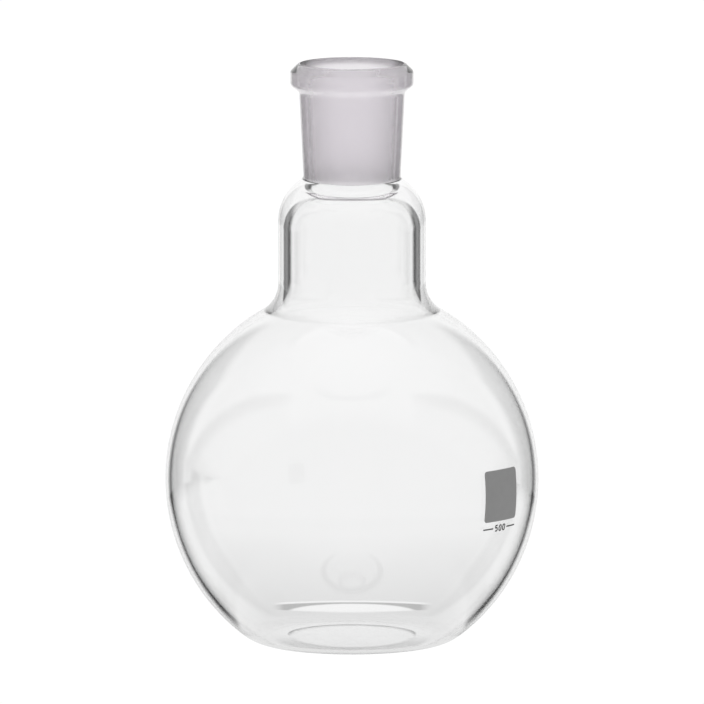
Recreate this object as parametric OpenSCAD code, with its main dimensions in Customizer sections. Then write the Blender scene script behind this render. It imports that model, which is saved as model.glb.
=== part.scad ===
// Flat-bottomed boiling flask, 500 ml, with one conical ground socket.
// Millimetres. The origin is the centre of the base on the table, +Z is up,
// and -Y is the front.

/* [Bulb] */
// Largest outside diameter of the bulb
bulb_d = 105; // [104:0.5:107]
// Height of the bulb's widest ring above the table
bulb_mid_z = 46.5; // [45.5:0.25:47.5]
// Radius of the bulb's side in section, a little more than half its diameter
bulb_side_r = 55.3; // [54.5:0.1:56.5]
// Glass thickness at the widest ring
bulb_wall = 1.65; // [1.3:0.05:2]
// How much thicker the glass gets from the widest ring towards the poles
bulb_thickening = 0.4; // [0:0.2:1.4]
// Outside radius of the heel, where the side turns into the base
heel_r = 12.5; // [11:0.5:14]
// Inside radius of the heel
heel_inner_r = 9; // [8:0.5:10]
// Glass thickness of the base
base_wall = 1.6; // [1.4:0.1:2.4]
// Height that the middle of the base is pushed up, so that it stands on a ring
punt_h = 0.8; // [0.4:0.1:1.2]
// Radius of the push-up
punt_r = 18; // [15:0.5:19]

/* [Neck] */
// Outside diameter of the neck
neck_d = 41.5; // [40:0.5:43]
// Glass thickness of the neck
neck_wall = 3.2; // [2.8:0.1:3.6]
// Outside radius of the hollow between bulb and neck
root_r = 9; // [8:0.1:10]
// Inside radius of the same corner
root_inner_r = 12; // [11:0.1:13]
// Height where the straight neck ends and the shoulder begins
shoulder_z = 119.6; // [118:0.2:121]
// Outside radius of the shoulder
shoulder_r = 13.8; // [13:0.2:14.4]
// Inside radius of the shoulder
shoulder_inner_r = 10.5; // [9:0.25:11]
// Radius of the rounding from the ground cone into the shoulder
throat_round_r = 4.5; // [3.5:0.25:5]

/* [Ground socket] */
// Overall height of the flask, at the top of the lip
flask_h = 164; // [163.5:0.1:165]
// Diameter of the ground cone at its large end
ground_d = 24; // [24]
// Length of the ground cone
ground_len = 29; // [29]
// Diameter lost per millimetre of length, 1 in 10
ground_taper = 0.1; // [0.1]
// Depth of the ground cone's large end below the lip
ground_depth = 4.7; // [4.5:0.1:5.2]
// Glass thickness of the socket's wall
socket_wall = 3.1; // [2.8:0.1:3.3]
// Outside diameter of the collar round the mouth
collar_d = 34.6; // [34:0.2:36]
// Height of the collar's straight band
collar_band = 2.4; // [2:0.1:3]
// Rounding of the collar's two corners
collar_round_r = 1.5; // [1:0.1:1.6]
// How far the mouth flares out between the ground cone and the lip
lip_flare = 1.4; // [0.8:0.1:1.5]
// Radius of the lip's rounded top
lip_r = 1; // [0.8:0.1:1.1]

/* [Enamel marks] */
// Side of the writing patch
patch_w = 14.5; // [12:0.5:16]
// Corner radius of the writing patch
patch_round_r = 1; // [0.5:0.1:2]
// Turn of the marks from the front, towards +X
mark_turn = 53.3; // [0:0.1:90]
// Height of the patch's middle above the table
patch_z = 46.2; // [42:0.2:48]
// Height of the capacity figures
figure_h = 2; // [1.6:0.1:2.4]
// Width of a line of the capacity mark
stroke = 0.4; // [0.3:0.05:0.5]
// Thickness of the fired enamel
enamel_t = 0.1; // [0.08:0.01:0.15]

/* [Hidden] */
$fn = 96;
arc_step = 3;
seam_gap = 1;
mark_prism = 20;

// Bulb, in section. Its side is an arc whose centre is just across the axis,
// tangent to the heel below and to the hollow at the neck above.
neck_r = neck_d / 2;
side_c = [bulb_d / 2 - bulb_side_r, bulb_mid_z];
heel_c = [tangent_x(side_c, bulb_side_r - heel_r, heel_r), heel_r];
root_c = [neck_r + root_r, tangent_z(side_c, bulb_side_r + root_r, neck_r + root_r)];

// The inside has the same layout on a smaller arc that is moved outwards,
// so the wall is thinnest at the widest ring.
bore_r = neck_r - neck_wall;
inner_r = bulb_side_r - bulb_wall - bulb_thickening;
inner_c = side_c + [bulb_thickening, 0];
heel_in_c = [tangent_x(inner_c, inner_r - heel_inner_r, base_wall + heel_inner_r),
             base_wall + heel_inner_r];
root_in_c = [bore_r + root_inner_r, tangent_z(inner_c, inner_r + root_inner_r, bore_r + root_inner_r)];
root_seam_z = max(root_c.y, root_in_c.y) + seam_gap;

// Ground cone, throat and shoulder
ground_top_z = flask_h - ground_depth;
ground_low_z = ground_top_z - ground_len;
ground_r = ground_d / 2;
throat_r = ground_r - ground_len * ground_taper / 2;
throat_c = [throat_r + throat_round_r, ground_low_z];
shoulder_in_x = bore_r - shoulder_inner_r;
shoulder_in_c = [shoulder_in_x,
                 ground_low_z - rise(shoulder_inner_r + throat_round_r, throat_c.x - shoulder_in_x)];
shoulder_in_turn = heading(shoulder_in_c, throat_c);
socket_seam_z = shoulder_in_c.y + shoulder_inner_r * sin(shoulder_in_turn);
shoulder_c = [neck_r - shoulder_r, shoulder_z];
seam_turn = asin((socket_seam_z - shoulder_z) / shoulder_r);

// Outside of the socket: a wall with the cone's own taper, and a collar
blend_r = 1.2;
blend_c = [throat_r + socket_wall + blend_r,
           tangent_z(shoulder_c, shoulder_r + blend_r, throat_r + socket_wall + blend_r)];
collar_r = collar_d / 2;
collar_top = [collar_r - collar_round_r, flask_h - 3];
collar_low = collar_top - [0, collar_band];
collar_foot_z = collar_low.y - 2.6;
collar_foot_r = throat_r + socket_wall + (collar_foot_z - blend_c.y) * ground_taper / 2;
lip_c = [ground_r + lip_flare + lip_r, flask_h - lip_r];

// The other leg of a right triangle with the hypotenuse r
function rise(r, leg) = sqrt(r * r - leg * leg);

// The place where an arc about c, of radius r, has the height z or the reach x
function tangent_x(c, r, z) = c.x + rise(r, z - c.y);
function tangent_z(c, r, x) = c.y + rise(r, x - c.x);

// Direction from a to b in degrees
function heading(a, b) = atan2(b.y - a.y, b.x - a.x);

// Points of the arc about c from angle a to angle b
function arc(c, r, a, b) =
    let (steps = ceil(abs(b - a) / arc_step))
    [for (i = [0:steps]) let (t = a + (b - a) * i / steps) c + r * [cos(t), sin(t)]];

// The push-up under the base: a shallow dome, from its rim to the axis
function punt(z, steps = 6) =
    [for (i = [0:steps]) let (r = punt_r * (1 - i / steps)) [r, z + punt_h * (1 - (r / punt_r) ^ 2)]];

function reversed(list) = [for (i = [len(list) - 1:-1:0]) list[i]];

// The bulb's outside, with the wall's outer face moved out by t
function side_arc(t = 0) =
    arc(side_c, bulb_side_r + t, heading(side_c, heel_c), heading(side_c, root_c));

module bulb() {
    outside = concat(
        reversed(punt(0)),
        arc(heel_c, heel_r, -90, heading(side_c, heel_c)),
        side_arc(),
        arc(root_c, root_r, heading(root_c, side_c), -180),
        [[neck_r, root_seam_z]]);
    inside = concat(
        [[bore_r, root_seam_z]],
        arc(root_in_c, root_inner_r, -180, heading(root_in_c, inner_c)),
        arc(inner_c, inner_r, heading(inner_c, root_in_c), heading(inner_c, heel_in_c)),
        arc(heel_in_c, heel_inner_r, heading(inner_c, heel_in_c), -90),
        punt(base_wall));
    color([0.9, 0.94, 0.95, 0.35]) rotate_extrude() polygon(concat(outside, inside));
}

module neck() {
    outside = concat([[neck_r, root_seam_z]], arc(shoulder_c, shoulder_r, 0, seam_turn));
    inside = concat(
        arc(shoulder_in_c, shoulder_inner_r, shoulder_in_turn, 0),
        [[bore_r, root_seam_z]]);
    color([0.9, 0.94, 0.95, 0.35]) rotate_extrude() polygon(concat(outside, inside));
}

module ground_socket() {
    outside = concat(
        arc(shoulder_c, shoulder_r, seam_turn, heading(shoulder_c, blend_c)),
        arc(blend_c, blend_r, heading(blend_c, shoulder_c), -180),
        [[collar_foot_r, collar_foot_z]],
        arc(collar_low, collar_round_r, -45, 0),
        arc(collar_top, collar_round_r, 0, 60));
    inside = concat(
        arc(lip_c, lip_r, 60, 180),
        [[ground_r, ground_top_z]],
        arc(throat_c, throat_round_r, 180, 180 + shoulder_in_turn));
    color([0.84, 0.82, 0.85, 0.8]) rotate_extrude() polygon(concat(outside, inside));
}

// A fired skin of enamel over the bulb, kept only behind the outline in the plane
// that faces the marks
module on_bulb(z) {
    intersection() {
        rotate_extrude() polygon(concat(side_arc(), reversed(side_arc(enamel_t))));
        rotate([0, 0, mark_turn]) translate([0, -bulb_d / 2 + mark_prism / 2, z]) rotate([90, 0, 0])
            linear_extrude(mark_prism) children();
    }
}

module rounded_square(size, r) {
    square([size, size - 2 * r], center = true);
    square([size - 2 * r, size], center = true);
    for (x = [-1, 1], y = [-1, 1]) translate((size / 2 - r) * [x, y]) circle(r);
}

// One figure of the capacity mark, drawn as an upright loop
module loop_figure(w, h) {
    difference() {
        slot(w, h);
        slot(w - 2 * stroke, h - 2 * stroke);
    }
}

module slot(w, h) {
    square([w, h - w], center = true);
    for (y = [-1, 1]) translate([0, y * (h - w) / 2]) circle(d = w);
}

// A five: a bar, a stem and a bowl
module five(w, h) {
    bowl_r = h * 0.31;
    bowl = [w / 2 - bowl_r, bowl_r - h / 2];
    translate([-w / 2, h / 2 - stroke]) square([w * 0.95, stroke]);
    translate([-w / 2, bowl.y + bowl_r - stroke]) square([stroke, h / 2 - bowl.y - bowl_r + stroke]);
    translate([-w / 2, bowl.y + bowl_r - stroke]) square([bowl.x + w / 2, stroke]);
    translate([-w / 2, -h / 2]) square([bowl.x + w / 2, stroke]);
    translate(bowl) difference() {
        circle(bowl_r);
        circle(bowl_r - stroke);
        translate([-2 * bowl_r, -bowl_r]) square([2 * bowl_r, 2 * bowl_r]);
    }
}

module writing_patch() {
    color([0.23, 0.23, 0.23]) on_bulb(patch_z) rounded_square(patch_w, patch_round_r);
}

// The capacity in figures between two short rules, as wide as the patch
module capacity_mark() {
    figure_w = 0.65 * figure_h;
    pitch = figure_w + stroke;
    rule = patch_w / 2 - 2.4 * figure_w;
    color([0.18, 0.18, 0.18]) on_bulb(patch_z - patch_w / 2 - figure_h) {
        translate([-pitch, 0]) five(figure_w, figure_h);
        for (x = [0, pitch]) translate([x, 0]) loop_figure(figure_w, figure_h);
        for (x = [-1, 1]) translate([x * (patch_w - rule) / 2, 0]) square([rule, stroke], center = true);
    }
}

bulb();
neck();
ground_socket();
writing_patch();
capacity_mark();
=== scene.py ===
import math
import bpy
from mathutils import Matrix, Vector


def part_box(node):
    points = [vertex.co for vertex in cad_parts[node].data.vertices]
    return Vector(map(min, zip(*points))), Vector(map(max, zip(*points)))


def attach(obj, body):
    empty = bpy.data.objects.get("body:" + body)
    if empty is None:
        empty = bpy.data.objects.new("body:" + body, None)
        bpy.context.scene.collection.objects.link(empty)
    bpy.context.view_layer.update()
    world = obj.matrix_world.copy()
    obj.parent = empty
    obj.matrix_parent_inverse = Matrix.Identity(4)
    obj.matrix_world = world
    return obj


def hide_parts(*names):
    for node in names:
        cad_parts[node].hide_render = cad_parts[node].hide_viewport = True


bl_info = {
    "name": "Boiling flask",
    "version": (1, 0, 0),
    "blender": (4, 5, 0),
    "location": "View3D > Sidebar > Flask",
    "description": "Smooth glass, ground socket, enamel marks and a bright-field studio for a flask",
    "category": "Object",
}

import bpy
import numpy as np
from bpy.props import FloatProperty, FloatVectorProperty, PointerProperty
from mathutils import Vector

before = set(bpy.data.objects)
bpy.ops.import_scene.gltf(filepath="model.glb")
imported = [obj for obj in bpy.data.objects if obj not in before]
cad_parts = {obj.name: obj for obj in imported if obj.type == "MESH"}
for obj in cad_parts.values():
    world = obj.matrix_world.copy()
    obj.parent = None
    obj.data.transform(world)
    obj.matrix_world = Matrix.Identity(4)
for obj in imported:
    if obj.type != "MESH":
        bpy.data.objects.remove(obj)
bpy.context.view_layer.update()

MM = 0.001
AROUND = 256
ON_AXIS = 1e-9
SHARP = math.radians(40)
BOUNCES = 32
SENSOR = 36
ENAMEL_GRAIN = 0.006 * MM
GLASS, CAP, GROUND = 0, 1, 2


def half_width(node):
    """Half of a node's size along X: the radius of a round piece."""
    low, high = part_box(node)
    return (high.x - low.x) / 2


BULB_R = half_width("bulb")
NECK_R = half_width("neck")
ROOT_SEAM_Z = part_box("neck")[0].z
SOCKET_SEAM_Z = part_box("ground_socket")[0].z
FLASK_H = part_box("ground_socket")[1].z
PATCH_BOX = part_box("writing_patch")
FIGURE_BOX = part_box("capacity_mark")

PATCH_MID = (PATCH_BOX[0] + PATCH_BOX[1]) / 2
PATCH_W = PATCH_BOX[1].z - PATCH_BOX[0].z
MARK_TURN = math.atan2(PATCH_MID.x, -PATCH_MID.y)
FIGURE_Z = (FIGURE_BOX[0].z + FIGURE_BOX[1].z) / 2
FIGURE_H = FIGURE_BOX[1].z - FIGURE_BOX[0].z
FIGURE_W = 0.65 * FIGURE_H

# Where the rules beside the figures start, in figure widths from the middle
RULE_START = 2.4

# Length over which a 1:10 cone's radius grows by one
CONE = 20

# Share of the enamel's thickness that its edge is bevelled by
BEVEL = 0.4

# Radii round the socket's corners, from the collar's foot: foot, the band's lower and upper edge,
# the lip's outer and inner edge, and the ground cone's large end
COLLAR_ROUNDS = (1.6 * MM, 1.4 * MM, 1.3 * MM, 1.0 * MM, 0.6 * MM, 2.0 * MM)


def length(name, text, default, low=0.0001, high=0.2):
    """A size in metres, shown with its unit."""
    return FloatProperty(name=name, description=text, default=default, min=low, max=high,
                         unit="LENGTH", precision=4)


def brightness(name, text, default):
    """A brightness, 1 being white."""
    return FloatProperty(name=name, description=text, default=default, min=0, max=10)


def tint(name, text, default):
    """A colour as linear red, green and blue."""
    return FloatVectorProperty(name=name, description=text, default=default, min=0, max=1,
                               size=3, subtype="COLOR")


class FlaskShape(bpy.types.PropertyGroup):
    side_r: length("Side radius", "Radius of the bulb's side in section", 55.3 * MM)
    mid_z: length("Widest height", "Height of the bulb's widest ring", 46.5 * MM)
    wall: length("Bulb wall", "Glass thickness at the widest ring", 1.65 * MM)
    thickening: length("Thickening", "Growth of the wall towards the poles", 0.4 * MM)
    heel_r: length("Heel radius", "Outside radius of the heel", 12.5 * MM)
    heel_inner_r: length("Inner heel radius", "Inside radius of the heel", 9.0 * MM)
    base_wall: length("Base wall", "Glass thickness of the base", 1.6 * MM)
    punt_h: length("Push-up height", "Rise of the middle of the base", 0.8 * MM)
    punt_r: length("Push-up radius", "Radius of the push-up under the base", 18.0 * MM)
    neck_wall: length("Neck wall", "Glass thickness of the neck", 3.2 * MM)
    root_r: length("Root radius", "Outside radius between bulb and neck", 9.0 * MM)
    root_inner_r: length("Inner root radius", "Inside radius between bulb and neck", 12.0 * MM)
    shoulder_z: length("Shoulder height", "Height where the straight neck ends", 119.6 * MM)
    shoulder_r: length("Shoulder radius", "Outside radius of the shoulder", 13.8 * MM)
    shoulder_inner_r: length("Inner shoulder radius", "Inside radius of the shoulder", 10.5 * MM)
    throat_round_r: length("Throat rounding", "Rounding from the ground cone to the shoulder", 4.5 * MM)
    ground_r: length("Ground radius", "Radius of the ground cone's large end", 12.0 * MM)
    ground_len: length("Ground length", "Length of the ground cone", 29.0 * MM)
    ground_depth: length("Ground depth", "Depth of the cone's large end below the lip", 4.7 * MM)
    grind_past: length("Ground run-out", "How far the grinding runs on below the cone", 0.9 * MM, 0)
    collar_r: length("Collar radius", "Outside radius of the collar round the mouth", 17.3 * MM)
    collar_foot: length("Collar foot", "Depth of the collar's foot below the lip", 8.0 * MM)
    collar_low: length("Band's lower edge", "Depth of the band's lower edge below the lip", 5.9 * MM)
    collar_top: length("Band's upper edge", "Depth of the band's upper edge below the lip", 2.2 * MM)
    lip_out: length("Lip's outer edge", "From the ground cone's large end out to it", 3.1 * MM)
    lip_flare: length("Lip's inner edge", "From the ground cone's large end out to it", 1.2 * MM)
    blend_r: length("Socket blend", "Radius between the shoulder and the socket's wall", 1.2 * MM)
    socket_wall: length("Socket wall", "Glass thickness of the socket", 3.1 * MM)
    patch_round_r: length("Patch corners", "Corner radius of the writing patch", 1.0 * MM)
    stroke: length("Stroke", "Width of a line of the capacity mark", 0.4 * MM)
    enamel_t: length("Enamel thickness", "How proud the enamel stands", 0.06 * MM, 0.00001)
    enamel_sunk: length("Enamel root", "How far the enamel sinks into the glass", 0.02 * MM, 0.00001)


class FlaskLook(bpy.types.PropertyGroup):
    glass_tint: tint("Glass tint", "What the clear glass lets through", (0.975, 0.976, 0.976))
    ground_tint: tint("Ground tint", "Colour of the ground glass", (0.965, 0.925, 0.968))
    patch_tint: tint("Patch tint", "Colour of the writing patch", (0.33, 0.33, 0.33))
    figure_tint: tint("Figure tint", "Colour of the capacity mark", (0.12, 0.12, 0.12))
    wave_depth: length("Wave depth", "Depth of the drawn glass's shallow waves", 0.01 * MM, 0)
    grit_depth: length("Grit depth", "Depth of the grain on the ground cone", 0.02 * MM, 0)
    ground_rough: FloatProperty(name="Ground roughness", description="Roughness of the ground cone",
                                default=0.8, min=0, max=1)
    glass_ior: FloatProperty(name="Glass IOR", description="Refractive index of the glass",
                             default=1.473, min=1.0, max=2.0)


class StudioLook(bpy.types.PropertyGroup):
    distance: FloatProperty(name="Distance", description="From the camera to the flask's middle",
                            default=5.5, min=0.5, max=10, unit="LENGTH")
    elevation: FloatProperty(name="Elevation", description="Camera's height above the horizon",
                             default=math.radians(7.8), subtype="ANGLE")
    aim_z: length("Aim height", "Height of the point that the camera looks at", 82.3 * MM)
    lens: FloatProperty(name="Lens", description="Focal length in millimetres",
                        default=1000.7, min=50, max=5000)
    clip_end: length("Clip end", "How far the camera sees", 20, 1, 100)
    table_drop: length("Table drop", "How far the table lies under the foot", 0.1 * MM, 0)
    table_half: length("Table half width", "Half the side of the white table", 4, 0, 10)
    wall_y: length("Backdrop distance", "From the flask back to the white backdrop", 3, 0, 10)
    wall_top: length("Backdrop height", "Height of the top of the white backdrop", 4, 0, 10)
    light_half: length("Lit table half width", "Half the side of the lit table", 2, 0, 10)
    white: brightness("White", "Brightness of the table and backdrop that the camera sees", 1.03)
    room: brightness("Room", "Brightness of the room all round", 0.62)
    screen: brightness("Screen", "Brightness of the screen behind the flask", 0.985)
    screen_y: length("Screen distance", "From the flask back to the screen", 0.231, 0, 2)
    screen_half: length("Flags' half width", "Half the width of screen and flags", 0.5, 0, 2)
    screen_top: length("Flags' height", "Height of the top of screen and flags", 0.7, 0, 2)
    screen_w: length("Screen half width", "Where the screen starts to fall off", 0.13, 0, 2)
    screen_end: length("Screen edge", "Where the screen ends and the flags begin", 0.15, 0, 2)
    flag_grey: brightness("Flag, inner part", "Brightness of the flags beside the screen", 0.2)
    flag_dark: brightness("Flag, outer part", "Brightness of the flags further out", 0.075)
    flag_in: length("Flag grey end", "Where the flags start to darken", 0.21, 0, 2)
    flag_out: length("Flag dark start", "Where the flags are darkest", 0.265, 0, 2)
    flag_end: length("Flag end", "Where the flags give way to the room", 0.33, 0, 2)
    flag_top: length("Flag top", "Height where the flags start to fade out", 0.235, 0, 2)
    flag_fade: length("Flag fade", "Length over which the flags fade out", 0.06, 0, 2)
    over: brightness("Round the flags", "Brightness of the wall over and beside the flags", 0.75)
    overhead: brightness("Overhead", "Brightness of the soft box over the flask", 1.15)
    box_half: length("Soft box half width", "Half the side of the soft box", 1.2, 0, 2)
    box_z: length("Soft box height", "Height of the soft box over the table", 0.9, 0, 2)
    box_in: length("Soft box middle", "Where the soft box starts to fade", 0.1, 0, 2)
    box_out: length("Soft box edge", "Where the soft box has faded to the room", 1.1, 0, 2)


class TableLook(bpy.types.PropertyGroup):
    strip_near: brightness("Table by the flask", "Brightness of the flask's own shadow", 0.77)
    strip_far: brightness("Open table", "Brightness of the lit strip clear of that shadow", 0.97)
    shadow_in: length("Own shadow", "Half width of the full shadow", 0.025, 0, 1)
    shadow_out: length("Own shadow's edge", "Half width at which it has faded", 0.05, 0, 1)
    open_near: length("Shadow's end starts", "How far back that shadow starts to fade", 0.05, 0, 1)
    open_far: length("Shadow's end", "How far back that shadow has faded", 0.2, 0, 1)
    strip_w: length("Strip half width", "Half the strip's width beside the flask", 0.0345, 0, 1)
    strip_spread: FloatProperty(name="Strip spread", description="How fast the strip widens",
                                default=0.74, min=0, max=2)
    strip_bend: FloatProperty(name="Strip bend", description="How fast that bends back, per metre",
                              default=1.3, min=0, max=3)
    edge_soft: length("Edge softness", "Softness of the strip's edges", 0.002, 0.001, 1)
    edge_growth: FloatProperty(name="Edge growth", description="How fast that softness grows",
                               default=0.05, min=0, max=1)
    band_grey: brightness("Shadow", "Brightness of the flags' shadow on the table", 0.04)
    band_w: length("Shadow width", "Width that the next two are shares of", 0.06, 0, 1)
    band_near: FloatProperty(name="Shadow by the flask", description="Share of the width there",
                             default=0.3, min=0, max=1)
    band_growth: FloatProperty(name="Shadow growth", description="Share gained in a metre",
                               default=4.0, min=0, max=10)
    band_soft: length("Shadow softness", "Softness of the shadow's outer edge", 0.006, 0.001, 1)
    band_soft_growth: FloatProperty(name="Shadow softening", description="How fast that grows",
                                    default=0.12, min=0, max=1)
    band_start: length("Shadow start", "Where the shadow starts to darken", -0.01, -1, 1)
    band_full: length("Shadow in full", "Where the shadow is darkest", 0.005, -1, 1)
    beyond: brightness("Table beyond", "Brightness of the table beyond the shadow", 0.75)
    fore: brightness("Table in front", "Brightness of the table in front of the flask", 0.6)
    fore_start: length("Front's edge", "Where the front ends", -0.07, -1, 1)
    fore_end: length("Front's soft edge", "Where the front has faded out", -0.03, -1, 1)
    heel_y: length("Heel shadow", "How far back the shadow of the heel lies", 0.0617, 0, 0.1)
    heel_thick: length("Heel shadow's middle", "Thickness in its middle", 0.0027, 0, 0.1)
    heel_r: length("Heel shadow radius", "Radius of its outer edge", 0.036, 0, 0.1)
    heel_in_r: length("Heel shadow inner radius", "Radius of its inner edge", 0.0195, 0, 0.1)
    heel_w: length("Heel shadow half width", "Half its width", 0.0235, 0, 0.1)
    heel_low: length("Heel shadow front", "Where it starts at the front", 0.0435, 0, 0.1)
    heel_taper: length("Heel shadow's ends", "Length over which it starts", 0.002, 0, 0.1)
    heel_soft: length("Heel shadow softness", "Softness of its edges", 0.0008, 0.0001, 0.1)
    heel_grey: brightness("Heel shadow brightness", "Brightness of the shadow of the heel", 0.47)
    # Painted highlight: the bright caustic rim behind the heel's painted shadow
    highlight_rim_w: length("Bright rim", "Width of the bright rim behind it", 0.003, 0, 0.1)
    foot_r: length("Foot shadow radius", "Radius of the shadow under the foot", 0.0195, 0, 0.1)
    foot_w: length("Foot shadow half width", "Half the width of that arc", 0.003, 0, 0.1)
    foot_soft: length("Foot shadow softness", "Softness of its edges", 0.001, 0.0001, 0.1)
    foot_fade: length("Foot shadow fade", "Length over which it starts", 0.012, 0, 0.1)
    foot_grey: brightness("Foot shadow brightness", "Brightness of the foot's shadow", 0.3)


# ---------------------------------------------------------------- sections

def turned(centre, radius, start, end, step=math.radians(1.5)):
    """Arc about centre from angle start to angle end: centre + radius (cos t, sin t), with the
    normal on the right of the way it runs. Rows are r, z, normal r, normal z."""
    count = max(3, int(math.ceil(abs(end - start) / step)) + 1)
    t = np.linspace(start, end, count)
    out = np.column_stack([np.cos(t), np.sin(t)])
    return np.hstack([np.asarray(centre) + radius * out, np.sign(end - start) * out])


def straight(start, end, step=1.0 * MM):
    """Line from start to end in equal steps, with its normal on the right."""
    start, end = np.asarray(start, float), np.asarray(end, float)
    way = end - start
    far = np.hypot(*way)
    t = np.linspace(0, 1, max(2, int(math.ceil(far / step)) + 1))[:, None]
    normal = np.array([way[1], -way[0]]) / far
    return np.hstack([start + t * way, np.tile(normal, (len(t), 1))])


def rounded(corners, radii):
    """Straight runs through corners with a tangent arc in each one: an arc starts and ends at
    radius tan(turn / 2) from its corner and lies on the inside of the turn."""
    points = [np.asarray(corner, float) for corner in corners]
    runs, last = [], points[0]
    for before, here, after, radius in zip(points, points[1:], points[2:], radii):
        way_in = (here - before) / np.hypot(*(here - before))
        way_out = (after - here) / np.hypot(*(after - here))
        turn = math.atan2(way_in[0] * way_out[1] - way_in[1] * way_out[0], way_in @ way_out)
        cut = radius * math.tan(abs(turn) / 2)
        left = np.array([-way_in[1], way_in[0]]) * math.copysign(radius, turn)
        arc_start = here - way_in * cut
        start = math.atan2(*(-left)[::-1])
        runs += [straight(last, arc_start), turned(arc_start + left, radius, start, start + turn)]
        last = here + way_out * cut
    return runs + [straight(last, points[-1])]


def chain(runs):
    """Runs joined end to end, each joint kept once."""
    return np.vstack([runs[0]] + [run[1:] for run in runs[1:]])


def heading(a, b):
    return math.atan2(b[1] - a[1], b[0] - a[0])


def reach_x(centre, radius, z):
    """Where an arc has the height z, on the side away from the axis."""
    return centre[0] + math.sqrt(radius ** 2 - (z - centre[1]) ** 2)


def reach_z(centre, radius, x):
    """Where an arc has the distance x from the axis, on its upper side."""
    return centre[1] + math.sqrt(radius ** 2 - (x - centre[0]) ** 2)


def dome(z, height, radius, outwards, count=25):
    """A shallow parabola over the axis, z + height (1 - (r / radius)^2), run from the axis
    outwards with its normal down, or inwards with its normal up."""
    r = np.linspace(0, radius, count)
    r = r if outwards else r[::-1]
    slope = 2 * height * r / radius ** 2
    normal = np.column_stack([slope, np.ones_like(r)]) * (-1 if outwards else 1)
    normal /= np.hypot(*normal.T)[:, None]
    return np.column_stack([r, z + height * (1 - (r / radius) ** 2), normal])


class Section:
    """The flask's section, as runs from the middle of the base up the outside to the lip and back
    down the inside, parted at the seams of the pieces. Centres of arcs end in _c."""

    def __init__(self, shape):
        side_c = np.array([BULB_R - shape.side_r, shape.mid_z])
        heel_c = (reach_x(side_c, shape.side_r - shape.heel_r, shape.heel_r), shape.heel_r)
        root_x = NECK_R + shape.root_r
        root_c = (root_x, reach_z(side_c, shape.side_r + shape.root_r, root_x))
        self.side_c, self.side_r = side_c, shape.side_r

        bore_r = NECK_R - shape.neck_wall
        inner_r = shape.side_r - shape.wall - shape.thickening
        inner_c = side_c + np.array([shape.thickening, 0])
        low_z = shape.base_wall + shape.heel_inner_r
        heel_in_c = (reach_x(inner_c, inner_r - shape.heel_inner_r, low_z), low_z)
        root_in_x = bore_r + shape.root_inner_r
        root_in_c = (root_in_x, reach_z(inner_c, inner_r + shape.root_inner_r, root_in_x))

        ground_top = FLASK_H - shape.ground_depth
        ground_low = ground_top - shape.ground_len
        throat_r = shape.ground_r - shape.ground_len / CONE
        shoulder_c = (NECK_R - shape.shoulder_r, shape.shoulder_z)
        seam_turn = math.asin((SOCKET_SEAM_Z - shape.shoulder_z) / shape.shoulder_r)
        throat_c = (throat_r + shape.throat_round_r, ground_low)
        shoulder_in_x = bore_r - shape.shoulder_inner_r
        apart = shape.shoulder_inner_r + shape.throat_round_r
        shoulder_in_c = (shoulder_in_x,
                         ground_low - math.sqrt(apart ** 2 - (throat_c[0] - shoulder_in_x) ** 2))
        in_turn = heading(shoulder_in_c, throat_c)
        wall_r = throat_r + shape.socket_wall
        blend_x = wall_r + shape.blend_r
        blend_c = (blend_x, reach_z(shoulder_c, shape.shoulder_r + shape.blend_r, blend_x))
        foot_z = FLASK_H - shape.collar_foot
        foot_r = wall_r + (foot_z - blend_c[1]) / CONE

        self.base = [dome(0, shape.punt_h, shape.punt_r, True),
                     straight((shape.punt_r, 0), (heel_c[0], 0)),
                     turned(heel_c, shape.heel_r, -math.pi / 2, heading(side_c, heel_c))]
        self.side = [turned(side_c, shape.side_r, heading(side_c, heel_c), heading(side_c, root_c))]
        self.root = [turned(root_c, shape.root_r, heading(root_c, side_c), -math.pi),
                     straight((NECK_R, root_c[1]), (NECK_R, ROOT_SEAM_Z))]
        self.neck = [straight((NECK_R, ROOT_SEAM_Z), (NECK_R, shape.shoulder_z)),
                     turned(shoulder_c, shape.shoulder_r, 0, seam_turn)]
        corners = [
            (wall_r, blend_c[1]), (foot_r, foot_z), (shape.collar_r, FLASK_H - shape.collar_low),
            (shape.collar_r, FLASK_H - shape.collar_top), (shape.ground_r + shape.lip_out, FLASK_H),
            (shape.ground_r + shape.lip_flare, FLASK_H), (shape.ground_r, ground_top),
            (throat_r, ground_low)]
        self.collar = [
            turned(shoulder_c, shape.shoulder_r, seam_turn, heading(shoulder_c, blend_c)),
            turned(blend_c, shape.blend_r, heading(blend_c, shoulder_c), -math.pi),
            *rounded(corners, COLLAR_ROUNDS),
            turned(throat_c, shape.throat_round_r, math.pi, math.pi + in_turn)]
        self.grind_end = ground_low - shape.grind_past
        self.neck_inner = [
            turned(shoulder_in_c, shape.shoulder_inner_r, in_turn, 0),
            straight((bore_r, shoulder_in_c[1]), (bore_r, ROOT_SEAM_Z))]
        self.bulb_inner = [
            straight((bore_r, ROOT_SEAM_Z), (bore_r, root_in_c[1])),
            turned(root_in_c, shape.root_inner_r, -math.pi, heading(root_in_c, inner_c)),
            turned(inner_c, inner_r, heading(inner_c, root_in_c), heading(inner_c, heel_in_c)),
            turned(heel_in_c, shape.heel_inner_r, heading(inner_c, heel_in_c), -math.pi / 2),
            straight((heel_in_c[0], shape.base_wall), (shape.punt_r, shape.base_wall)),
            dome(shape.base_wall, shape.punt_h, shape.punt_r, False)]


def section():
    return Section(bpy.context.scene.flask_shape)


def spun(across, along, turns):
    """Points or directions (across cos f, across sin f, along) for every row and angle f."""
    rings = np.stack([np.outer(across, np.cos(turns)), np.outer(across, np.sin(turns)),
                      np.outer(along, np.ones(len(turns)))], axis=2)
    return rings.reshape(-1, 3)


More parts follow.
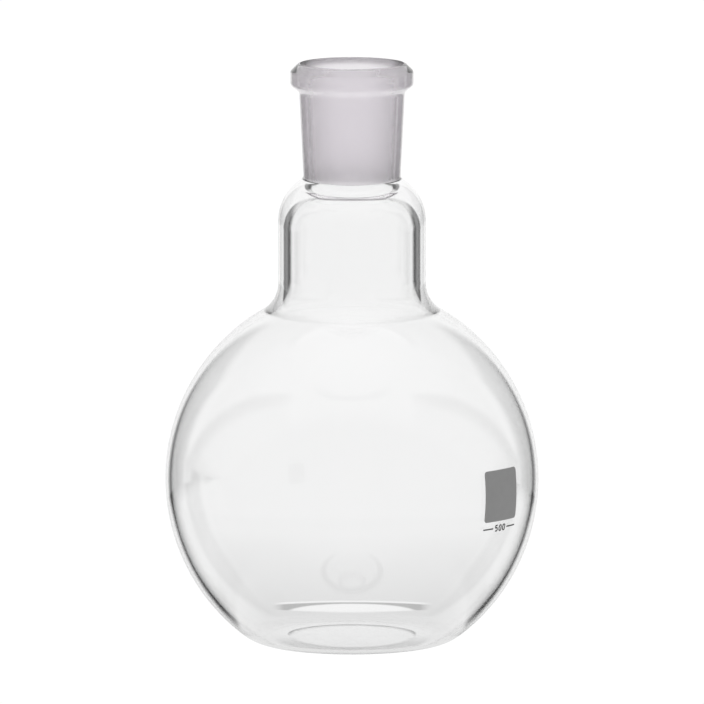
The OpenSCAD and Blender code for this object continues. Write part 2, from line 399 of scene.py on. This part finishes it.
def revolve(name, rows, slots, materials):
    """Turns a section round the axis. slots gives the material of the band above each row. A first
    and last row on the axis become poles, otherwise the last row joins the first."""
    turns = np.linspace(0, 2 * np.pi, AROUND, endpoint=False)
    open_ended = rows[0, 0] < ON_AXIS and rows[-1, 0] < ON_AXIS
    ring = rows[1:-1] if open_ended else rows
    points = spun(ring[:, 0], ring[:, 1], turns)
    normals = spun(ring[:, 2], ring[:, 3], turns)
    index = np.arange(len(ring) * AROUND).reshape(len(ring), AROUND)
    low = index[:-1] if open_ended else index
    high = index[1:] if open_ended else np.roll(index, -1, axis=0)
    faces = band_faces(low, high)
    per_band = np.repeat(slots[1:-1] if open_ended else slots, AROUND)
    if open_ended:
        first, last = len(points), len(points) + 1
        points = np.vstack([points, [[0, 0, rows[0, 1]], [0, 0, rows[-1, 1]]]])
        normals = np.vstack([normals, [[0, 0, rows[0, 3]], [0, 0, rows[-1, 3]]]])
        start = np.column_stack([np.full(AROUND, first), np.roll(index[0], -1), index[0]])
        end = np.column_stack([index[-1], np.roll(index[-1], -1), np.full(AROUND, last)])
        faces += start.tolist() + end.tolist()
        per_band = np.concatenate([per_band, np.full(AROUND, slots[0]), np.full(AROUND, slots[-1])])
    mesh = bpy.data.meshes.new(name)
    mesh.from_pydata(points, [], faces)
    for material in materials:
        mesh.materials.append(material)
    mesh.polygons.foreach_set("material_index", per_band.astype(np.int32))
    mesh.shade_smooth()
    mesh.normals_split_custom_set_from_vertices(normals)
    mesh.update()
    return add_piece(name, mesh)


def band_faces(low, high):
    """Quads between each ring of point numbers in low and its neighbour in high."""
    quads = np.stack([low, np.roll(low, -1, axis=1), np.roll(high, -1, axis=1), high], axis=2)
    return quads.reshape(-1, 4).tolist()


def add_piece(name, mesh):
    piece = bpy.data.objects.new(name, mesh)
    bpy.context.scene.collection.objects.link(piece)
    return piece


def settle(piece, node):
    """The piece rides on the flask and stands for its CAD node, which is hidden."""
    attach(piece, "root")
    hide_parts(node)


# --------------------------------------------------------------- materials

class Sum:
    """A socket that takes part in Python arithmetic: each operator adds one Math node."""

    def __init__(self, recipe, socket):
        self.recipe, self.socket = recipe, socket

    def __add__(self, other):
        return self.recipe.maths("ADD", self, other)

    def __mul__(self, other):
        return self.recipe.maths("MULTIPLY", self, other)

    def __sub__(self, other):
        return self.recipe.maths("SUBTRACT", self, other)

    def __rsub__(self, other):
        return self.recipe.maths("SUBTRACT", other, self)

    def __truediv__(self, other):
        return self.recipe.maths("DIVIDE", self, other)

    def __rtruediv__(self, other):
        return self.recipe.maths("DIVIDE", other, self)

    __radd__ = __add__
    __rmul__ = __mul__


class Recipe:
    """A material's node tree, built from Python: add() makes any node and returns it."""

    def __init__(self, name):
        self.material = bpy.data.materials.new(name)
        self.material.use_nodes = True
        self.tree = self.material.node_tree
        self.nodes = self.tree.nodes
        self.nodes.clear()

    def put(self, slot, value):
        if isinstance(value, Sum):
            self.tree.links.new(value.socket, slot)
        elif isinstance(value, bpy.types.NodeSocket):
            self.tree.links.new(value, slot)
        else:
            slot.default_value = value

    def add(self, kind, settings=None, **inputs):
        node = self.nodes.new("ShaderNode" + kind)
        for name, value in (settings or {}).items():
            setattr(node, name, value)
        for name, value in inputs.items():
            self.put(node.inputs[name.replace("_", " ")], value)
        return node

    def maths(self, operation, *values):
        node = self.add("Math", {"operation": operation})
        for slot, value in zip(node.inputs, values):
            self.put(slot, value)
        return Sum(self, node.outputs[0])

    def object_place(self):
        """Object coordinates as a vector and as three numbers."""
        place = self.add("TexCoord").outputs["Object"]
        parts = self.add("SeparateXYZ", Vector=place).outputs
        return place, [Sum(self, part) for part in parts]

    def noise(self, place, scale, detail=2.0, stretch=(1, 1, 1)):
        """Noise with that many cells to the metre, as a number round 0.5."""
        mapped = self.add("Mapping", Vector=place, Scale=stretch).outputs[0]
        node = self.add("TexNoise", Vector=mapped, Scale=scale, Detail=detail, Roughness=0.55)
        return Sum(self, node.outputs[0])

    def ramp(self, value, start, end):
        """0 below start, 1 above end and straight between."""
        share = (value - start) / (end - start)
        return self.maths("MINIMUM", self.maths("MAXIMUM", share, 0.0), 1.0)

    def blend(self, factor, first, second):
        """A colour between first and second."""
        node = self.nodes.new("ShaderNodeMix")
        node.data_type = "RGBA"
        for slot, value in ((0, factor), (6, first), (7, second)):
            self.put(node.inputs[slot], value)
        return node.outputs[2]

    def relief(self, height, depth, strength=1.0):
        """A normal from a height between 0 and 1, depth metres deep."""
        return self.add("Bump", Height=height, Distance=depth, Strength=strength).outputs[0]

    def out(self, shader):
        end = self.nodes.new("ShaderNodeOutputMaterial")
        self.tree.links.new(shader.outputs[0], end.inputs["Surface"])
        return self.material


def mix(first, second, share):
    """first where share is 0, second where it is 1."""
    return first + (second - first) * share


def darker(colour, share):
    """A colour times a share, with an alpha of 1."""
    return tuple(value * share for value in colour[:3]) + (1,)


def clear_glass():
    """Drawn glass: long shallow waves up the wall and faint striae in its tint."""
    look = bpy.context.scene.flask_look
    recipe = Recipe("clear_glass")
    place, _ = recipe.object_place()
    waves = recipe.noise(place, 45, detail=1, stretch=(1, 1, 0.35))
    striae = recipe.noise(place, 130, detail=3, stretch=(1, 1, 0.25))
    base = recipe.blend(striae, darker(look.glass_tint, 0.995), (*look.glass_tint, 1))
    shader = recipe.add("BsdfPrincipled", Base_Color=base, Roughness=0.0, IOR=look.glass_ior,
                        Transmission_Weight=1.0, Normal=recipe.relief(waves, look.wave_depth))
    return recipe.out(shader)


def seam_cap():
    """The face inside a weld, which is one glass on both sides and so isn't seen."""
    recipe = Recipe("seam_cap")
    shader = recipe.add("BsdfPrincipled", Alpha=0.0)
    return recipe.out(shader)


def ground_glass():
    """Ground with loose grit round the cone: a fine grain, and finer rings that run round it."""
    look = bpy.context.scene.flask_look
    recipe = Recipe("ground_glass")
    place, _ = recipe.object_place()
    grain = recipe.noise(place, 5200, detail=2)
    rings = recipe.noise(place, 900, detail=3, stretch=(0.12, 0.12, 3.0))
    clouds = recipe.noise(place, 140, detail=3)
    base = recipe.blend(clouds * 0.5 + rings * 0.5, darker(look.ground_tint, 0.94),
                        (*look.ground_tint, 1))
    shader = recipe.add("BsdfPrincipled", Base_Color=base, Roughness=look.ground_rough + 0.1 * rings,
                        IOR=look.glass_ior, Transmission_Weight=1.0,
                        Normal=recipe.relief(grain * 0.6 + rings * 0.4, look.grit_depth))
    return recipe.out(shader)


def enamel(name, colour):
    """Screen-printed, fired enamel: a mottled matt skin, the mesh of the screen just showing."""
    recipe = Recipe(name)
    place, _ = recipe.object_place()
    mottle = recipe.noise(place, 420, detail=4)
    pores = recipe.noise(place, 3000, detail=2)
    base = recipe.blend(mottle, darker(colour, 0.93), darker(colour, 1.07))
    shader = recipe.add("BsdfPrincipled", Base_Color=base, Roughness=0.5 + 0.15 * pores,
                        Normal=recipe.relief(pores, ENAMEL_GRAIN))
    return recipe.out(shader)


def studio_white():
    """The even white of the table and backdrop."""
    recipe = Recipe("studio_white")
    white = bpy.context.scene.studio_look.white
    return recipe.out(recipe.add("Emission", Color=(white, white, white, 1), Strength=1.0))


def glow(recipe, shade):
    """A light whose brightness is a pattern."""
    grey = recipe.add("CombineColor", Red=shade, Green=shade, Blue=shade).outputs[0]
    return recipe.out(recipe.add("Emission", Color=grey, Strength=1.0))


def screen_light():
    """A lit screen that falls off to a grey and then a dark flag on either side, with an even
    brightness beyond the flags and over them."""
    look = bpy.context.scene.studio_look
    recipe = Recipe("screen_light")
    _, (x, _, z) = recipe.object_place()
    side = recipe.maths("ABSOLUTE", x)
    flag = mix(look.flag_grey, look.flag_dark, recipe.ramp(side, look.flag_in, look.flag_out))
    flag = mix(flag, look.over, recipe.ramp(side, look.flag_end, look.flag_end + look.flag_fade))
    flag = mix(flag, look.over, recipe.ramp(z, look.flag_top, look.flag_top + look.flag_fade))
    return glow(recipe, mix(look.screen, flag, recipe.ramp(side, look.screen_w, look.screen_end)))


def overhead_light():
    """A soft box over the flask that fades to the room's grey."""
    look = bpy.context.scene.studio_look
    recipe = Recipe("overhead_light")
    _, (x, y, _) = recipe.object_place()
    far = from_axis(x, y, 0.0)
    return glow(recipe, mix(look.overhead, look.room, recipe.ramp(far, look.box_in, look.box_out)))


def from_axis(x, y, middle):
    """Distance from the point (0, middle) of a level sheet."""
    return x.recipe.maths("SQRT", x * x + (y - middle) * (y - middle))


def disc(x, y, middle, radius, soft):
    """1 inside a disc about (0, middle), falling to 0 over its soft edge."""
    return 1 - x.recipe.ramp(from_axis(x, y, middle), radius - soft, radius + soft)


def strip_light(recipe, x, y, side):
    """The lit strip of the table. The flask's own shadow lies along its middle. Under the back of
    the heel is its painted shadow, a dark crescent, with a painted highlight, a bright caustic rim:
    a disc less a smaller one, cut off in front and at its ends. Under the front of the foot is a
    thin dark arc, the foot's painted shadow."""
    look = bpy.context.scene.table_look
    clear = recipe.maths("MAXIMUM", recipe.ramp(side, look.shadow_in, look.shadow_out),
                         recipe.ramp(y, look.open_near, look.open_far))
    shade = mix(look.strip_near, look.strip_far, clear)
    ends = recipe.ramp(y, look.heel_low, look.heel_low + look.heel_taper) * (
        1 - recipe.ramp(side, look.heel_w - look.highlight_rim_w, look.heel_w + look.heel_taper / 2))
    outer_y = look.heel_y - look.heel_r
    inner_y = look.heel_y - look.heel_thick - look.heel_in_r
    # Painted highlight: a bright caustic rim round the heel's painted shadow
    rim = disc(x, y, outer_y, look.heel_r + look.highlight_rim_w, look.heel_soft)
    outer = disc(x, y, outer_y, look.heel_r, look.heel_soft)
    inner = disc(x, y, inner_y, look.heel_in_r, look.heel_soft)
    shade = mix(shade, look.strip_far, rim * ends)
    shade = mix(shade, look.heel_grey, outer * (1 - inner) * ends)
    foot = disc(x, y, 0.0, look.foot_r + look.foot_w, look.foot_soft)
    foot = foot * (1 - disc(x, y, 0.0, look.foot_r - look.foot_w, look.foot_soft))
    return mix(shade, look.foot_grey, foot * recipe.ramp(y, 0.0, -look.foot_fade))


def table_light():
    """The lit table behind and under the flask. The strip has the edge |x| = w + spread |y| -
    bend y^2. Outside it lies the flags' shadow, which widens and softens towards the screen, and
    then an even table, which ends in the dark at the flags."""
    look, studio = bpy.context.scene.table_look, bpy.context.scene.studio_look
    recipe = Recipe("table_light")
    _, (x, y, _) = recipe.object_place()
    side = recipe.maths("ABSOLUTE", x)
    away = recipe.maths("ABSOLUTE", y)
    out = side - (look.strip_w + look.strip_spread * away - look.strip_bend * y * y)
    shadow = mix(look.beyond, look.band_grey, recipe.ramp(y, look.band_start, look.band_full))
    soft = look.edge_soft + look.edge_growth * away
    shade = mix(strip_light(recipe, x, y, side), shadow, recipe.ramp(out / soft, -1.0, 1.0))
    dark = recipe.ramp(y, studio.screen_y - 2 * look.band_w, studio.screen_y)
    beyond = mix(look.beyond, studio.flag_dark, dark)
    width = look.band_w * (look.band_near + look.band_growth * away)
    soft = look.band_soft + look.band_soft_growth * away
    shade = mix(shade, beyond, recipe.ramp((out - width) / soft, -1.0, 1.0))
    return glow(recipe, mix(look.fore, shade, recipe.ramp(y, look.fore_start, look.fore_end)))


# ----------------------------------------------------------- enamel pieces

def on_bulb(u, v, lift):
    """A mark's own plane, u across and v up, laid on the bulb. At height v the side arc has the
    distance r = c + R cos t from the axis, with sin t = (v - middle) / R. The point is
    (u, -sqrt(r^2 - u^2), v), moved by lift along the normal and turned to the marks' place."""
    s = section()
    sin_t = (v - s.side_c[1]) / s.side_r
    cos_t = np.sqrt(1 - sin_t ** 2)
    r = s.side_c[0] + s.side_r * cos_t
    y = -np.sqrt(r ** 2 - u ** 2)
    x = u * (1 + lift * cos_t / r)
    y = y * (1 + lift * cos_t / r)
    z = v + lift * sin_t
    cos_m, sin_m = math.cos(MARK_TURN), math.sin(MARK_TURN)
    return np.stack([x * cos_m - y * sin_m, x * sin_m + y * cos_m, z], axis=-1)


def rounded_square(side, corner, across=24, around=8):
    """Outline of a square of that side with quarter circles in its corners, counter-clockwise: on
    each side a row of equal steps, then the arc corner * (cos a, sin a) about its centre."""
    half = side / 2 - corner
    step = np.linspace(-half, half, across, endpoint=False)
    turn = np.linspace(-np.pi / 2, 0, around, endpoint=False)
    edge = np.column_stack([step, np.full(across, -side / 2)])
    bend = np.column_stack([half + corner * np.cos(turn), corner * np.sin(turn) - half])
    one = np.vstack([edge, bend])
    quarter = np.array([[0, 1], [-1, 0]])
    return np.vstack([one @ np.linalg.matrix_power(quarter, times) for times in range(4)])


def skin(name, outline, centre, material, thick, sunk):
    """A thin closed shell behind an outline: rings of the outline scaled from its centre, out along
    the underside, up the edge and back over the top, each with its own lift off the glass."""
    bevel = BEVEL * thick / np.abs(outline).max()
    scale = [0.0, 0.25, 0.5, 0.75, 1.0, 1.0, 1 - bevel, 0.75, 0.5, 0.25, 0.0]
    lift = [-sunk] * 5 + [(1 - BEVEL) * thick] + [thick] * 5
    rows = [on_bulb(centre[0] + share * outline[:, 0], centre[1] + share * outline[:, 1], rise)
            for share, rise in zip(scale[1:-1], lift[1:-1])]
    poles = [on_bulb(np.array([centre[0]]), np.array([centre[1]]), rise)
             for rise in (lift[0], lift[-1])]
    count = len(outline)
    index = np.arange(len(rows) * count).reshape(len(rows), count)
    first, last = index.size, index.size + 1
    faces = band_faces(index[:-1], index[1:])
    faces += np.column_stack([np.full(count, first), np.roll(index[0], -1), index[0]]).tolist()
    faces += np.column_stack([index[-1], np.roll(index[-1], -1), np.full(count, last)]).tolist()
    return enamel_piece(name, np.vstack(rows + poles), faces, material)


def ribbons(name, paths, width, material, thick, sunk):
    """Strokes of a printed figure: along each path a flat bar, its four corners set off to either
    side by width / 2 along the path's own normal. Returns one piece of separate closed bars."""
    points, faces = [], []
    for path, closed in paths:
        path = np.asarray(path, float)
        before = np.roll(path, 1, axis=0)
        after = np.roll(path, -1, axis=0)
        if not closed:
            before[0], after[-1] = path[0], path[-1]
        way = after - before
        way /= np.hypot(*way.T)[:, None]
        side = np.column_stack([-way[:, 1], way[:, 0]]) * width / 2
        right, left = path - side, path + side
        bars = [on_bulb(edge[:, 0], edge[:, 1], lift)
                for edge, lift in ((right, -sunk), (right, thick), (left, thick), (left, -sunk))]
        start = sum(len(bar) for bar in points)
        count = len(path)
        grid = start + np.arange(4 * count).reshape(4, count)
        beside = np.roll(grid, -1, axis=0)
        here = np.arange(count if closed else count - 1)
        there = (here + 1) % count
        quads = [grid[:, here], grid[:, there], beside[:, there], beside[:, here]]
        faces += np.stack(quads, axis=2).reshape(-1, 4).tolist()
        if not closed:
            faces += [grid[:, 0].tolist(), grid[::-1, -1].tolist()]
        points.append(np.vstack(bars))
    return enamel_piece(name, np.vstack(points), faces, material)


def enamel_piece(name, points, faces, material):
    mesh = bpy.data.meshes.new(name)
    mesh.from_pydata(points, [], faces)
    mesh.materials.append(material)
    mesh.shade_smooth()
    mesh.set_sharp_from_angle(angle=SHARP)
    mesh.update()
    return add_piece(name, mesh)


def arc_path(centre, radius, start, end, count=14):
    """Points centre + radius (cos t, sin t), t from start to end in degrees."""
    t = np.radians(np.linspace(start, end, count))
    return np.column_stack([centre[0] + radius * np.cos(t), centre[1] + radius * np.sin(t)])


def nought(centre, width, height):
    """A figure 0: two half circles joined by straight sides."""
    rise = np.array([0, (height - width) / 2])
    return np.vstack([arc_path(centre + rise, width / 2, 0, 180),
                      arc_path(centre - rise, width / 2, 180, 360)])


def five(centre, width, height):
    """A figure 5: a flag a little narrower than the figure, the stem down to the bowl, and the
    bowl, an arc that runs from its upper left over the right to the lower left."""
    bowl = 0.31 * height
    hub = centre + np.array([width / 2 - bowl, bowl - height / 2])
    top = centre + np.array([-width / 2, height / 2])
    flag = [top + np.array([0.95 * width, 0]), top]
    elbow = np.array([top[0], hub[1] + 0.8 * bowl])
    return np.vstack([flag, [(top + elbow) / 2, elbow], arc_path(hub, bowl, 112, -130, 22)])


# --------------------------------------------------------------- operators

class FLASK_OT_bulb(bpy.types.Operator):
    """Blown bulb with its flat base and the hollow up to the neck"""
    bl_idname = "flask.bulb"
    bl_label = "Bulb"

    def execute(self, context):
        s = section()
        outer = chain(s.base + s.side + s.root)
        inner = chain(s.bulb_inner)
        slots = np.full(len(outer) + len(inner), GLASS)
        slots[len(outer) - 1] = CAP
        piece = revolve("bulb_glass", np.vstack([outer, inner]), slots[:-1],
                        [clear_glass(), seam_cap()])
        settle(piece, "bulb")
        return {"FINISHED"}


class FLASK_OT_neck(bpy.types.Operator):
    """Straight neck with its rounded shoulder"""
    bl_idname = "flask.neck"
    bl_label = "Neck"

    def execute(self, context):
        s = section()
        outer = chain(s.neck)
        inner = chain(s.neck_inner)
        slots = np.full(len(outer) + len(inner), GLASS)
        slots[len(outer) - 1] = CAP
        slots[-1] = CAP
        piece = revolve("neck_glass", np.vstack([outer, inner]), slots,
                        [clear_glass(), seam_cap()])
        settle(piece, "neck")
        return {"FINISHED"}


class FLASK_OT_socket(bpy.types.Operator):
    """Ground socket with its collar and lip"""
    bl_idname = "flask.socket"
    bl_label = "Ground socket"

    def execute(self, context):
        s = section()
        rows = chain(s.collar)
        slots = np.full(len(rows), GLASS)
        top = int(np.argmax(rows[:, 1]))
        inside = (np.arange(len(rows)) >= top) & (rows[:, 1] > s.grind_end)
        slots[inside] = GROUND
        slots[-1] = CAP
        piece = revolve("socket_glass", rows, slots, [clear_glass(), seam_cap(), ground_glass()])
        settle(piece, "ground_socket")
        return {"FINISHED"}


class FLASK_OT_patch(bpy.types.Operator):
    """Square of matt enamel to write on with a pencil"""
    bl_idname = "flask.patch"
    bl_label = "Writing patch"

    def execute(self, context):
        shape, look = context.scene.flask_shape, context.scene.flask_look
        outline = rounded_square(PATCH_W, shape.patch_round_r)
        piece = skin("patch_enamel", outline, (0, PATCH_MID.z), enamel("patch_enamel", look.patch_tint),
                     shape.enamel_t, shape.enamel_sunk)
        settle(piece, "writing_patch")
        return {"FINISHED"}


class FLASK_OT_figures(bpy.types.Operator):
    """Capacity in figures between two short rules"""
    bl_idname = "flask.figures"
    bl_label = "Capacity mark"

    def execute(self, context):
        shape, look = context.scene.flask_shape, context.scene.flask_look
        stroke = shape.stroke
        height = FIGURE_H - stroke
        width = FIGURE_W - stroke
        pitch = FIGURE_W + stroke
        middle = np.array([0, FIGURE_Z])
        paths = [(five(middle - [pitch, 0], width, height), False)]
        paths += [(nought(middle + [x, 0], width, height), True) for x in (0, pitch)]
        along = np.linspace(RULE_START * FIGURE_W, PATCH_W / 2, 6)
        for side in (-1, 1):
            rule = np.column_stack([side * along[::side], np.full(len(along), FIGURE_Z)])
            paths.append((rule, False))
        piece = ribbons("figure_enamel", paths, stroke, enamel("figure_enamel", look.figure_tint),
                        shape.enamel_t, shape.enamel_sunk)
        settle(piece, "capacity_mark")
        return {"FINISHED"}


SEEN_BY = ("camera", "diffuse", "glossy", "transmission", "volume_scatter", "shadow")


def stage_sheet(name, corners, material, for_camera, parent=None):
    """A flat sheet of the studio, seen by the camera alone or only in and through the glass."""
    mesh = bpy.data.meshes.new(name)
    mesh.from_pydata(corners, [], [(0, 1, 2, 3)])
    mesh.materials.append(material)
    sheet = add_piece(name, mesh)
    sheet.parent = parent
    for kind in SEEN_BY:
        setattr(sheet, "visible_" + kind, (kind == "camera") == for_camera)


def level_corners(half, z):
    return [(-half, -half, z), (half, -half, z), (half, half, z), (-half, half, z)]


def wall_corners(half, y, low, high):
    return [(-half, y, low), (half, y, low), (half, y, high), (-half, y, high)]


def aimed_camera(scene, look):
    """A far camera with a long lens, in front of the flask and a little above it."""
    data = bpy.data.cameras.new("camera")
    camera = bpy.data.objects.new("camera", data)
    scene.collection.objects.link(camera)
    scene.camera = camera
    aim = Vector((0, 0, look.aim_z))
    back = Vector((0, -math.cos(look.elevation), math.sin(look.elevation)))
    camera.location = aim + back * look.distance
    camera.rotation_mode = "QUATERNION"
    camera.rotation_quaternion = (-back).to_track_quat("-Z", "Y")
    data.lens = look.lens
    data.sensor_width = SENSOR
    data.clip_end = look.clip_end
    return camera


def studio_turn(scene, camera):
    """An empty that turns round Z with the camera, so that the lights stay behind the flask."""
    turn = bpy.data.objects.new("studio_turn", None)
    scene.collection.objects.link(turn)
    follow = turn.constraints.new("LOCKED_TRACK")
    follow.target = camera
    follow.track_axis = "TRACK_NEGATIVE_Y"
    follow.lock_axis = "LOCK_Z"
    return turn


def room_world(scene, look):
    """The even grey of the room all round."""
    world = bpy.data.worlds.new("studio")
    scene.world = world
    world.use_nodes = True
    world.node_tree.nodes["Background"].inputs["Color"].default_value = (*[look.room] * 3, 1)


class FLASK_OT_stage(bpy.types.Operator):
    """Camera, white table and backdrop, and the lit screen and dark flags that the glass shows"""
    bl_idname = "flask.stage"
    bl_label = "Studio"

    def execute(self, context):
        scene, look = context.scene, context.scene.studio_look
        camera = aimed_camera(scene, look)
        scene.view_settings.view_transform = "Standard"
        scene.cycles.max_bounces = BOUNCES
        scene.cycles.transmission_bounces = BOUNCES
        scene.cycles.transparent_max_bounces = BOUNCES
        turn = studio_turn(scene, camera)
        low = -look.table_drop
        white = studio_white()
        stage_sheet("table", level_corners(look.table_half, low), white, True)
        backdrop = wall_corners(look.table_half, look.wall_y, low, look.wall_top)
        stage_sheet("backdrop", backdrop, white, True, turn)
        stage_sheet("table_light", level_corners(look.light_half, low), table_light(), False, turn)
        screen = wall_corners(look.screen_half, look.screen_y, low, look.screen_top)
        stage_sheet("screen_light", screen, screen_light(), False, turn)
        box = level_corners(look.box_half, look.box_z)
        stage_sheet("overhead", box, overhead_light(), False, turn)
        room_world(scene, look)
        return {"FINISHED"}


OPERATORS = (FLASK_OT_stage, FLASK_OT_bulb, FLASK_OT_neck, FLASK_OT_socket, FLASK_OT_patch,
             FLASK_OT_figures)


GROUPS = {"flask_shape": FlaskShape, "flask_look": FlaskLook, "studio_look": StudioLook,
          "table_look": TableLook}


class FLASK_PT_panel(bpy.types.Panel):
    """The flask's pieces and their values"""
    bl_idname = "FLASK_PT_panel"
    bl_label = "Boiling flask"
    bl_space_type = "VIEW_3D"
    bl_region_type = "UI"
    bl_category = "Flask"

    def draw(self, context):
        for operator in OPERATORS:
            self.layout.operator(operator.bl_idname)
        for name, group in GROUPS.items():
            for value in group.__annotations__:
                self.layout.prop(getattr(context.scene, name), value)


def register():
    for group in GROUPS.values():
        bpy.utils.register_class(group)
    for operator in OPERATORS:
        bpy.utils.register_class(operator)
    bpy.utils.register_class(FLASK_PT_panel)
    for name, group in GROUPS.items():
        setattr(bpy.types.Scene, name, PointerProperty(type=group))


def unregister():
    for name in GROUPS:
        delattr(bpy.types.Scene, name)
    bpy.utils.unregister_class(FLASK_PT_panel)
    for kind in (*OPERATORS[::-1], *GROUPS.values()):
        bpy.utils.unregister_class(kind)


def main():
    register()
    for operator in OPERATORS:
        group, name = operator.bl_idname.split(".")
        getattr(getattr(bpy.ops, group), name)()


if __name__ == "__main__":
    main()
